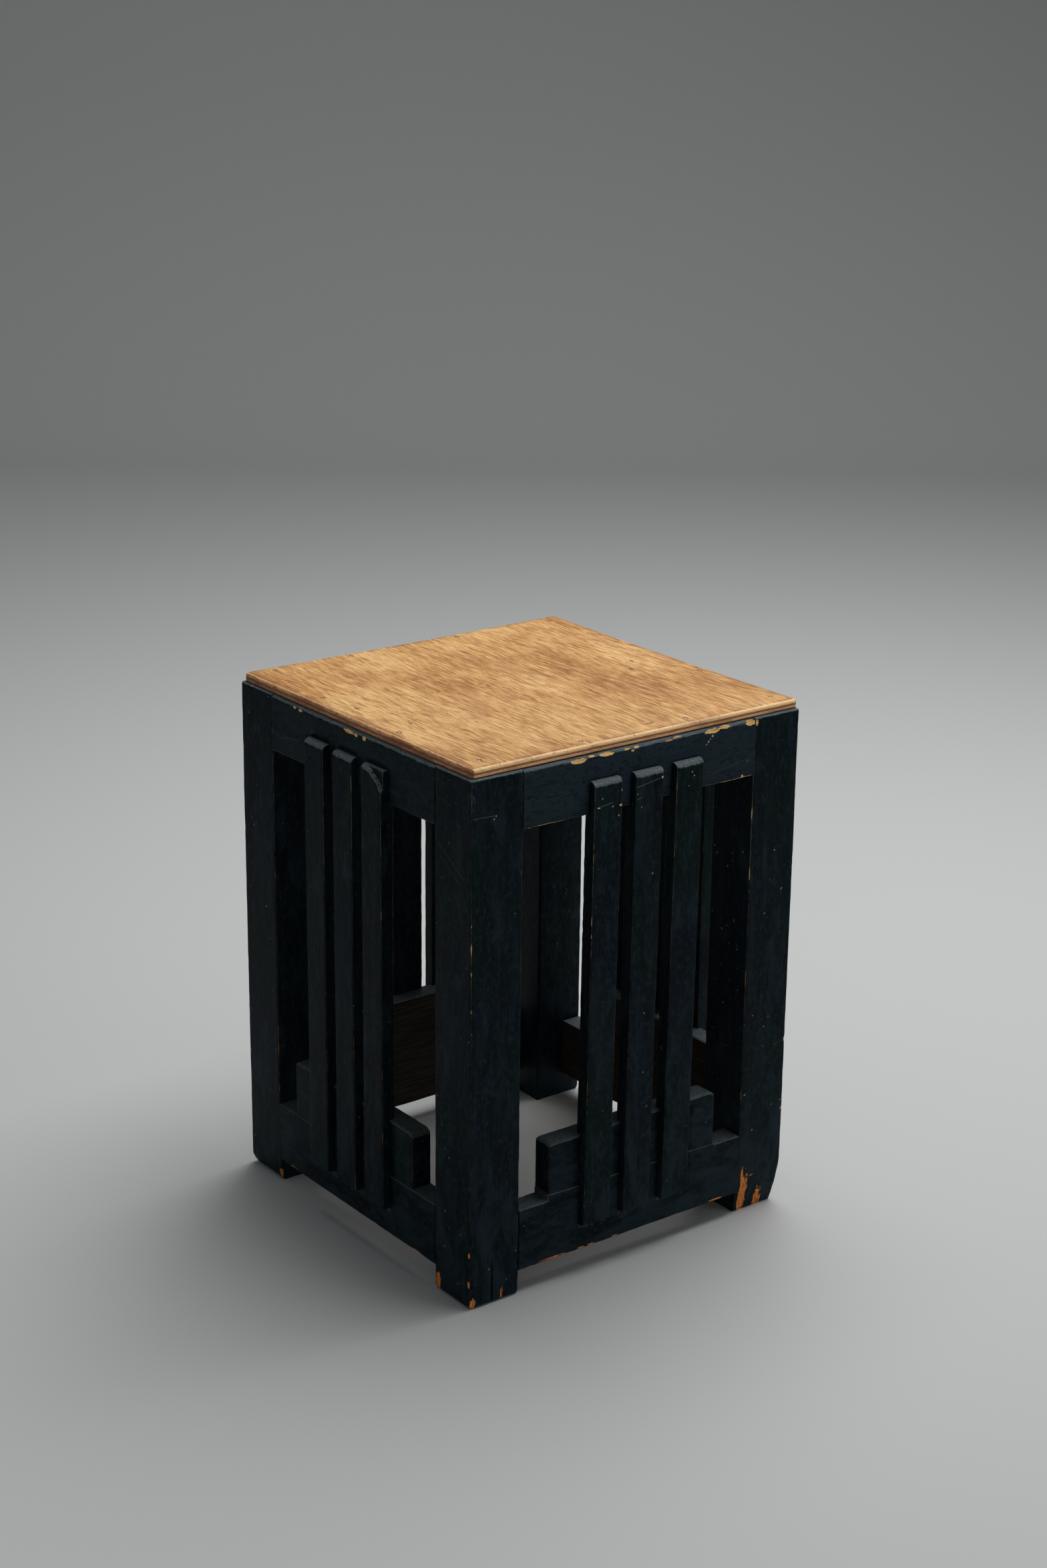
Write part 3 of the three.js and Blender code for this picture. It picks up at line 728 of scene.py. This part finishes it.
def speck_mask(g, at):
    """Small uneven specks where the paint is nicked, thick in some places and along the edges."""
    shaken = g.vector("SCALE", (0.0045, 0.0035, 0.0045), scale=g.noise(at, (800, 800, 800)))
    spread, (pick, size, _), _ = g.cells(g.vector("ADD", at, shaken), 230)
    inside = g.ease(g.minus(spread, g.times(size, 0.13)), 0.05, 0.0)
    crowded = g.times(g.ease(g.noise(at, (14, 14, 14)), 0.4, 0.75), 0.08)
    crowded = g.plus(crowded, g.times(g.mark("arris"), 0.06))
    return g.times(inside, g.math("GREATER_THAN", g.plus(pick, crowded), 0.99))


def spot(g, at, middle, radii, softness=0.3):
    """1 inside an ellipsoid in the stool's own millimetres, and 0 outside it."""
    offset = g.vector("SUBTRACT", at, tuple(m * MM for m in middle))
    shares = tuple(1 / (r * MM) for r in radii)
    return g.ease(g.vector("LENGTH", g.vector("MULTIPLY", offset, shares)), 1 + softness, 1 - softness)


# Dark flecks in the veneer, as (x, y) and half sizes in mm.
FLECKS = (
    ((106, -15), (1.6, 3.6)), ((122, 4.5), (1.3, 2.4)), ((140, -27), (0.9, 5)),
    ((21, -141), (4.5, 1.2)), ((-61, 22), (2.2, 1)), ((-18, 14), (1, 3)), ((-22, 20), (1.8, 1)),
    ((-140, 20), (1.2, 3.4)), ((-128, -36), (1, 2.6)), ((60, 40), (0.8, 2)),
)
VENEER = (  # by its tone, from dark to pale
    (0.22, srgb(146, 94, 46)), (0.4, srgb(190, 137, 77)),
    (0.54, srgb(216, 166, 104)), (0.74, srgb(234, 192, 132)),
)
VENEER_STAIN = srgb(150, 96, 50)
RIM_STAIN = srgb(128, 76, 42)
PORE = srgb(128, 80, 38)
FLECK_BROWN = srgb(52, 32, 22)


def plywood(panel_low, panel_high):
    """Clear-finished veneer with its grain along y, and the plies at the edge."""
    g = Graph("clear_plywood_look")
    at = g.place()
    figure = g.noise(at, (8, 3, 8), detail=1, roughness=0.4, distortion=0.8)
    across = g.parts(at)[0]
    wavy = g.join(g.plus(across, g.times(figure, 0.3)), 0.0, 0.0)
    rings = g.noise(wavy, (110, 1, 1))
    bands = g.noise(at, (150, 7, 150), detail=4, roughness=0.7, distortion=0.1)
    fibres = g.noise(at, (1150, 55, 1150), detail=3, roughness=0.6)
    pores = g.noise(at, (1300, 60, 1300), detail=3, roughness=0.6)
    cloud = g.noise(at, (10, 7, 10), detail=4, roughness=0.6)
    dirt = g.noise(at, (34, 20, 34), detail=6, roughness=0.72, distortion=0.6)

    tone = 0.5
    for part, weight in ((rings, 0.3), (bands, 0.32), (fibres, 1.45), (cloud, 0.9)):
        tone = g.plus(tone, g.times(g.minus(part, 0.5), weight))
    colour = g.ramp(tone, VENEER)
    colour = g.tint(colour, PORE, g.ease(pores, 0.54, 0.62), 0.75)
    colour = g.tint(colour, VENEER_STAIN, g.ease(dirt, 0.52, 0.7), 0.5)

    left_edge = g.ease(across, (panel_low[0] + 9) * MM, (panel_low[0] + 1) * MM)
    rim_dirt = g.times(g.ease(g.mark("arris"), 0.2, 0.85), g.ease(dirt, 0.38, 0.56))
    rim_dirt = g.most(rim_dirt, g.times(left_edge, g.ease(dirt, 0.3, 0.5)))
    colour = g.tint(colour, RIM_STAIN, rim_dirt, 0.75)
    for (x, y), (half_x, half_y) in FLECKS:
        mask = spot(g, at, (x, y, panel_high[2]), (half_x, half_y, 3))
        colour = g.tint(colour, FLECK_BROWN, mask, 0.75)
    for pin in PINS:
        low, high = box_mm(pin)
        mask = spot(g, at, ((low + high) / 2)[:2].tolist() + [high[2]], (2.1, 2.8, 3), 0.4)
        colour = g.tint(colour, RIM_STAIN, mask, 0.5)

    uneven = g.times(g.minus(g.noise(at, (50, 50, 300)), 0.5), 0.1)
    level = g.times(g.minus(g.parts(at)[2], panel_low[2] * MM), 1 / MM)
    level = g.plus(g.math("DIVIDE", level, panel_high[2] - panel_low[2]), uneven)
    side = g.ease(g.mark("raw"), 0.45, 0.55)
    colour = g.blend(side, colour, ply_edge(g, at, level))
    # The panel's dents are darker, broken up by dirt: dirt with painted shade.
    darker_in_dents = g.times(g.ease(g.mark("crease_shade_and_dirt"), 0.4, 0.9), g.ease(dirt, 0.3, 0.55))
    colour = g.tint(colour, FLECK_BROWN, darker_in_dents, 0.8)

    relief = g.plus(g.times(fibres, 0.7), g.times(pores, 0.5))
    g.surface(
        Base_Color=colour,
        Roughness=g.lerp(g.most(side, g.ease(dirt, 0.5, 0.75)), 0.42, 0.62),
        Specular_IOR_Level=0.28,
        Coat_Weight=0.08,
        Coat_Roughness=0.3,
        Normal=g.bump(relief, 0.08, 0.5),
    )
    return g.material


# The plies at the edge from the bottom up, by share of the height, with thin dark glue lines between. The
# dark band at the very bottom is painted shade where the panel sits on the frame.
PLIES = (
    (0.0, srgb(70, 40, 26)), (0.08, srgb(92, 52, 32)),
    (0.13, srgb(255, 188, 128)), (0.37, srgb(255, 200, 142)),
    (0.41, srgb(86, 46, 28)), (0.46, srgb(182, 120, 78)),
    (0.52, srgb(176, 114, 72)), (0.56, srgb(92, 50, 32)),
    (0.61, srgb(250, 202, 142)), (1.0, srgb(246, 200, 140)),
)
PLY_STAIN = srgb(120, 70, 42)
PLY_END_GRAIN = srgb(134, 76, 42)
PLY_PIT = srgb(84, 48, 32)


def ply_edge(g, at, level):
    """The plies seen at the edge. The ones across the grain on the left and right are browner."""
    fibres = g.noise(at, (120, 120, 2400), detail=3, roughness=0.6)
    stain = g.noise(at, (24, 24, 110), detail=5, roughness=0.7)
    colour = g.tint(g.ramp(level, PLIES), PLY_STAIN, g.ease(fibres, 0.5, 0.66), 0.25)
    colour = g.tint(colour, PLY_STAIN, g.ease(stain, 0.52, 0.64), 0.4)
    pits = g.noise(at, (420, 420, 900), detail=3, roughness=0.65)
    colour = g.tint(colour, PLY_PIT, g.ease(pits, 0.6, 0.68), 0.75)
    normal = g.node("NewGeometry").outputs["Normal"]
    sideways = g.ease(g.math("ABSOLUTE", g.parts(normal)[0]), 0.2, 0.6)
    streaks = g.lerp(g.ease(g.plus(fibres, g.minus(stain, 0.5)), 0.36, 0.6), 0.4, 0.9)
    return g.blend(g.times(sideways, streaks), colour, PLY_END_GRAIN)


def pin_steel():
    """Dull wire, a little stained."""
    g = Graph("pin_steel_look")
    at = g.place()
    tarnish = g.noise(at, (900, 900, 900), detail=4, roughness=0.7)
    g.surface(
        Base_Color=g.blend(g.ease(tarnish, 0.4, 0.75), srgb(226, 220, 206), srgb(140, 118, 94)),
        Roughness=g.lerp(g.ease(tarnish, 0.4, 0.7), 0.4, 0.65),
        Metallic=1.0,
        Normal=g.bump(tarnish, 0.05, 0.5),
    )
    return g.material


# ------------------------------------------------------------------- pieces

PINS = [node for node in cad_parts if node.startswith("panel_pin_")]
PAINTED = {axis: paint(f"painted_wood_{'xyz'[axis]}", axis) for axis in range(3)}
PIN_LOOK = pin_steel()


def build_post(node, quarter):
    low, high = box_mm(node, quarter)
    post = Wood(node, quarter, low, high)
    post.mark_arrises((0, 1, 2))
    outer = (post.depth_from(LEFT) < 3) | (post.depth_from(OUTER) < 3)
    post.marks["arris"] *= np.where(outer, 1.0, 0.75)
    post.round_edges(POST_EDGES)
    worn_in, worn_up = FOOT_WEAR[node]
    up = np.clip(1 - post.points[:, 2] / worn_up, 0, 1) ** 1.5
    for axis in (0, 1):
        share = post.depth_from((axis, 1)) / (high[axis] - low[axis])
        post.points[:, axis] += worn_in * up * share
    end = (post.depth_from(TOP) < FACE_DEPTH) * 0.95
    corner = np.maximum(post.depth_from(LEFT), post.depth_from(OUTER))
    near_top = np.clip(1.2 - post.depth_from(TOP) / 45, 0, 1)
    # The post's top end and the top of its outer corner: painted highlight with rubbed wear.
    post.marks["rub_and_highlight"] = np.maximum(end, 0.62 * np.exp(-corner / 3.5) * near_top)
    post.weather((0, 1), wear=0.7, wave=0.25)
    return post.finish(PAINTED[2])


def slat_box(side):
    """The lowest and highest corners of a side's left slat. The others are level with it."""
    return box_mm(f"{side}_slat_left", SIDES.index(side))


def recess_slats(piece, side):
    """Lets the slats' housings into a board's outer face."""
    low, high = slat_box(side)
    floor = high[1] - low[1] - SLAT_PROUD
    x, z = piece.points[:, 0], piece.points[:, 2]
    for left, right in slat_spans(side):
        housed = (x > left - GAP) & (x < right + GAP) & (z > low[2] - GAP) & (z < high[2] + GAP)
        outside = piece.depth_from(OUTER) < FACE_DEPTH
        piece.points[housed & outside, 1] = piece.low[1] + floor + GAP


def slat_spans(side):
    """The left and right edges of a side's slats, at half their height."""
    half = SLAT_WIDTH[side] / 2
    middles = [BLOCK_SHIFT[side] + step * SLAT_PITCH[side] for step in (-1, 0, 1)]
    return [(middle - half, middle + half) for middle in middles]


def slat_steps(side):
    """Where the housings' walls are, along the board and up it."""
    walls = [edge + way * GAP for span in slat_spans(side) for edge, way in zip(span, (-1, 1))]
    low, high = slat_box(side)
    return walls, [low[2] - GAP, high[2] + GAP]


def lean(piece, side, share=1.0):
    """Leans a share of a piece as the slats on its side lean."""
    low, high = slat_box(side)
    slope = SLAT_LEAN.get(side, 0) / (high[2] - low[2])
    piece.points[:, 0] += slope * (piece.points[:, 2] - (low[2] + high[2]) / 2) * share


def lean_housings(piece, side):
    """Leans the middle of a board, where the housings are."""
    reach = SLAT_PITCH[side] + SLAT_WIDTH[side]
    lean(piece, side, np.clip((1.4 * reach - np.abs(piece.points[:, 0])) / (0.4 * reach), 0, 1))


def board_between_posts(node, side, heights, joints=()):
    """A rail's own stretch, from post to post, without its tenons. It can step at the joints along it."""
    quarter = SIDES.index(side)
    low, high = box_mm(node, quarter)
    post_high = box_mm(POSTS[quarter], quarter)[1]
    low[0], high[0] = post_high[0] + GAP, -post_high[0] - GAP
    low[2], high[2] = heights
    walls, levels = slat_steps(side)
    levels = [level for level in levels if heights[0] < level < heights[1]]
    return Wood(node, quarter, low, high, steps=(walls + list(joints), [], levels))


def leave_bare(board, painted, depth):
    """Leaves a board without paint from its outer face in, except on the painted faces."""
    board.marks["raw"] = np.clip(board.depth_from(OUTER) / PAINT_REACH, 0, 1)
    for face in painted:
        board.marks["raw"] *= board.depth_from(face) > depth


def finish_board(board, side):
    """Lets the slats into a board, and gives it the paint for its grain, which runs along the side."""
    recess_slats(board, side)
    lean_housings(board, side)
    return board.finish(PAINTED[board.quarter % 2])


def build_top_rail(node, side):
    low, high = box_mm(node)
    rail = board_between_posts(node, side, (low[2], high[2]))
    rail.mark_arrises((1, 2), 3.2)
    leave_bare(rail, (TOP,), 0.5)
    rail.round_edges(TOP_RAIL_EDGES)
    # The rail's top band: painted highlight with rubbed wear.
    rail.marks["rub_and_highlight"] = np.clip(1.15 - rail.depth_from(TOP) / 3.6, 0, 0.95)
    rail.weather((1, 2), wear=0.9, wave=0.3)
    return finish_board(rail, side)


def block_ends(side):
    """The left and right ends of a side's block."""
    low, high = box_mm(f"{side}_step_block", SIDES.index(side))
    return low[0], high[0]


def joint_height(side, x):
    """How far the rail stands up under its block."""
    left, right = JOINT_RISE.get(side, (0, 0))
    start, end = block_ends(side)
    return left + (right - left) * np.clip((x - start) / (end - start), 0, 1)


def open_rail_top(side):
    """The bottom rail's top beside its block, where it doesn't stand up."""
    return box_mm(f"{side}_bottom_rail")[1][2] - max(JOINT_RISE.get(side, (0, 0)))


def build_bottom_rail(node, side):
    top = open_rail_top(side)
    start, end = block_ends(side)
    rail = board_between_posts(node, side, (box_mm(node)[0][2], top), (start, end))
    rail.mark_arrises((1, 2))
    leave_bare(rail, (TOP,), 0.5)
    rail.round_edges(BOTTOM_RAIL_EDGES)
    rail.weather((1, 2))
    under_block = (rail.points[:, 0] > start) & (rail.points[:, 0] < end)
    lifted = np.clip(1 - (top - rail.points[:, 2]) / 8, 0, 1)
    rail.points[:, 2] += under_block * lifted * joint_height(side, rail.points[:, 0])
    return finish_board(rail, side)


def build_block(node, side):
    quarter = SIDES.index(side)
    low, high = box_mm(node, quarter)
    low[2] = open_rail_top(side) + GAP
    walls, _ = slat_steps(side)
    block = Wood(node, quarter, low, high, steps=(walls, [], []))
    block.mark_arrises((0, 1, 2), 3)
    block.marks["arris"] *= np.clip((block.points[:, 2] - low[2]) / 6, 0.35, 1)
    leave_bare(block, (TOP, LEFT, RIGHT), 1)
    block.round_edges(BLOCK_EDGES)
    block.weather((1, 2))
    share = (high[2] - block.points[:, 2]) / (high[2] - low[2])
    block.points[:, 2] += joint_height(side, block.points[:, 0]) * np.clip(share, 0, 1) ** 2
    return finish_board(block, side)


def build_slat(node, side, index):
    quarter = SIDES.index(side)
    low, high = box_mm(node, quarter)
    low[0], high[0] = slat_spans(side)[index]
    splintered = node == "left_slat_right"
    fine = ((), (), ())
    if splintered:
        reach, drop = SPLINTER[-1][0] + 1, SPLINTER[0][1] + 3.5
        fine = ([(high[0] - reach, high[0])], (), [(high[2] - drop, high[2])])
    slat = Wood(node, quarter, low, high, coarse=6, fine=fine)
    slat.mark_arrises((0, 1, 2), 2)
    slat.round_edges(SLAT_EDGES)
    slat.weather((0, 1), wave=0.12)
    if splintered:
        break_corner(slat)
    lean(slat, side)
    return slat.finish(PAINTED[2])


def break_corner(slat):
    """The top right corner of the outer face is split away along a curved crack."""
    in_from_right = slat.high[0] - slat.points[:, 0]
    down_from_top = slat.high[2] - slat.points[:, 2]
    steps_in, steps_down = zip(*SPLINTER)
    crack = np.interp(in_from_right, steps_in, steps_down)
    crack += 1.2 * (value_noise(slat.points, 3, slat.seed) - 0.5)
    past = np.where(in_from_right < steps_in[-1], crack - down_from_top, -steps_in[-1])
    outer = np.clip(1 - slat.depth_from(OUTER) / SPLINTER_DEPTH, 0, 1)
    rough = 0.8 * value_noise(slat.points * (1, 1, 0.25), 1.5, slat.seed + 5)
    slat.points[:, 1] += np.clip(past, 0, 1) * outer * (SPLINTER_DEPTH - rough)
    # The crack's broken edge is lighter: painted highlight.
    slat.marks["rub_and_highlight"] = np.where(np.abs(past + 0.6) < 0.7, 1.3 * outer, 0)
    # Just past the crack it is darker: painted shade under the broken edge.
    under = np.where(np.abs(past - 0.7) < 0.6, 0.55 * outer, 0)
    slat.marks["crease_shade_and_dirt"] = np.maximum(slat.marks["crease_shade_and_dirt"], under)


def from_rim(panel):
    """How far in each point is from the panel's outline, round corners and all, and the way out to it."""
    offset = (panel.points - panel.middle)[:, :2]
    radius = np.where((offset < 0).all(axis=1), PANEL_SHARP, PANEL_ROUND)
    past = np.abs(offset) - ((panel.high - panel.low)[:2] / 2 - radius[:, None])
    outside = np.maximum(past, 0)
    out = np.where((past > 0).any(axis=1), np.linalg.norm(outside, axis=1), past.max(axis=1))
    in_corner = (past > 0).all(axis=1)
    nearest = past == past.max(axis=1, keepdims=True)
    way = np.where(in_corner[:, None], outside, nearest) * np.sign(offset)
    return radius - out, way / np.maximum(np.linalg.norm(way, axis=1, keepdims=True), 1e-9)


def build_panel(node="top_panel"):
    low, high = box_mm(node)
    panel = Wood(node, 0, low, high, coarse=4)
    panel.round_edges(PANEL_CORNERS)
    share = ((panel.points - panel.middle) / ((high - low) / 2))[:, :2]
    depth, way = from_rim(panel)
    panel.marks["arris"] = np.exp(-np.maximum(depth, 0) / 7)
    panel.marks["raw"] = (depth < 1.7) * 1.0
    outwards, upwards = eased(depth, panel.depth_from(TOP), PANEL_EDGE_ROUND)
    panel.points[:, :2] += outwards[:, None] * way
    panel.points[:, 2] += upwards
    panel.weather((0, 1, 2), wear=0, wave=0)
    for axis, bow in ((0, PANEL_BOW_RIGHT), (1, PANEL_BOW_BACK)):
        towards_edge = np.clip(share[:, axis], 0, 1) ** 8
        panel.points[:, axis] -= bow * towards_edge * (1 - share[:, 1 - axis] ** 2)
    piece = panel.finish(plywood(low, high), "clear_plywood")
    drill_pin_holes(piece, high[2])
    return piece


def ring(x, y, radius, height):
    """The points of a level circle."""
    return [(x + radius * c, y + radius * s, height) for c, s in CIRCLE]


def band(upper, lower):
    """The faces between two rings, from the numbers of their first points."""
    pairs = [(i, (i + 1) % CIRCLE_SIDES) for i in range(CIRCLE_SIDES)]
    return [(upper + i, lower + i, lower + after, upper + after) for i, after in pairs]


def drill_pin_holes(piece, top):
    """Shallow round holes that the pins' heads sit in."""
    verts, faces = [], []
    for pin in PINS:
        low, high = box_mm(pin)
        x, y, _ = (low + high) / 2
        floor, roof = len(verts), len(verts) + CIRCLE_SIDES
        verts += ring(x, y, PIN_HOLE_RADIUS, top - PIN_HOLE_DEPTH) + ring(x, y, PIN_HOLE_RADIUS, top + 1)
        faces += band(roof, floor)
        faces += [tuple(reversed(range(floor, roof))), tuple(range(roof, roof + CIRCLE_SIDES))]
    cutter = new_object("pin_hole_cutter", verts, faces)
    cut = piece.modifiers.new("pin_holes", "BOOLEAN")
    cut.operation = "DIFFERENCE"
    cut.solver = "EXACT"
    cut.object = cutter
    bpy.context.view_layer.update()
    shown = piece.evaluated_get(bpy.context.evaluated_depsgraph_get())
    piece.data = bpy.data.meshes.new_from_object(shown)
    piece.modifiers.clear()
    bpy.data.meshes.remove(cutter.data)


def build_pin(node):
    """A round wire nail with a slightly domed head, turned about its own axis."""
    low, high = box_mm(node)
    x, y, _ = (low + high) / 2
    top, foot = high[2], low[2]
    verts = [(x, y, top - 0.02)]
    rings = [(radius, top - depth) for radius, depth in PIN_HEAD]
    rings += [(PIN_SHANK_RADIUS, foot + PIN_POINT_LENGTH), (PIN_POINT_RADIUS, foot)]
    for radius, height in rings:
        verts += ring(x, y, radius, height)
    verts.append((x, y, foot))
    count, last = CIRCLE_SIDES, len(verts) - 1
    faces = [(0, 1 + i, 1 + (i + 1) % count) for i in range(count)]
    for start in range(1, last - count, count):
        faces += band(start, start + count)
    faces += [(last, last - count + (i + 1) % count, last - count + i) for i in range(count)]
    piece = new_object(f"{node}_skin", verts, faces, PIN_LOOK)
    return stand_for(piece, node)


def build_stool():
    for quarter, side in enumerate(SIDES):
        build_post(POSTS[quarter], quarter)
        build_top_rail(f"{side}_top_rail", side)
        build_bottom_rail(f"{side}_bottom_rail", side)
        build_block(f"{side}_step_block", side)
        for index, place in enumerate(SLATS):
            build_slat(f"{side}_slat_{place}", side, index)
    build_panel()
    for node in PINS:
        build_pin(node)


# -------------------------------------------------------------------- stage

CAMERA_AT = (-1.2295, -1.6323, 1.0314)
CAMERA_AZIMUTH = -37.166  # degrees: 0 looks along +Y
CAMERA_ELEVATION = 18.311
CAMERA_ROLL = 0.602
CAMERA_LENS = 61.03  # mm, for a 36 mm long side

# The backdrop, in metres from the stool.
FLOOR_REACH = 8
WALL_AWAY = 3.7
WALL_HEIGHT = 4
COVE_RADIUS = 0.7
FLOOR_GREY = srgb(196, 197, 196)

AIM_HEIGHT = 0.25  # where the lights point, in metres
KEY_WATTS = 52
FILL_WATTS = 6
SKY_LIGHT = 0.22


def make_camera():
    data = bpy.data.cameras.new("camera")
    data.lens = CAMERA_LENS
    camera = bpy.data.objects.new("camera", data)
    camera.matrix_world = Matrix.Translation(CAMERA_AT)
    turns = ((CAMERA_AZIMUTH, "Z"), (90 - CAMERA_ELEVATION, "X"), (CAMERA_ROLL, "Z"))
    for degrees, axis in turns:
        camera.matrix_world = camera.matrix_world @ Matrix.Rotation(math.radians(degrees), 4, axis)
    bpy.context.scene.collection.objects.link(camera)
    bpy.context.scene.camera = camera


def make_floor():
    """A pale floor that turns up into a wall behind the stool, seen from the camera."""
    azimuth = math.radians(CAMERA_AZIMUTH)
    away = np.array([-math.sin(azimuth), math.cos(azimuth)])
    across = np.array([math.cos(azimuth), math.sin(azimuth)])
    profile = [(-FLOOR_REACH, 0.0)]
    for bend in np.linspace(0, math.pi / 2, 17):
        distance = WALL_AWAY - COVE_RADIUS * (1 - math.sin(bend))
        profile.append((distance, COVE_RADIUS * (1 - math.cos(bend))))
    profile.append((WALL_AWAY, WALL_HEIGHT))
    verts = []
    for distance, height in profile:
        for reach in (-FLOOR_REACH, FLOOR_REACH):
            x, y = away * distance + across * reach
            verts.append((x / MM, y / MM, height / MM))
    faces = [(2 * i, 2 * i + 1, 2 * i + 3, 2 * i + 2) for i in range(len(profile) - 1)]
    g = Graph("floor_look")
    g.surface(Base_Color=FLOOR_GREY, Roughness=0.8, Specular_IOR_Level=0.2)
    new_object("floor", verts, faces, g.material)


def area_light(name, at, size, watts):
    """A square soft light at a place in metres, aimed at the stool."""
    data = bpy.data.lights.new(name, "AREA")
    data.size = size
    data.energy = watts
    light = bpy.data.objects.new(name, data)
    light.location = at
    aim = Vector((0, 0, AIM_HEIGHT)) - Vector(at)
    light.rotation_euler = aim.to_track_quat("-Z", "Y").to_euler()
    bpy.context.scene.collection.objects.link(light)


def make_lights():
    area_light("key", (0.75, 0.2, 2.2), 1.9, KEY_WATTS)
    area_light("fill", (1.6, -2.6, 1.3), 1.6, FILL_WATTS)
    world = bpy.data.worlds.new("studio")
    world.use_nodes = True
    sky = world.node_tree.nodes["Background"]
    sky.inputs["Color"].default_value = srgb(214, 218, 222)
    sky.inputs["Strength"].default_value = SKY_LIGHT
    bpy.context.scene.world = world
    bpy.context.scene.view_settings.view_transform = "Standard"


make_camera()
build_stool()
make_floor()
make_lights()
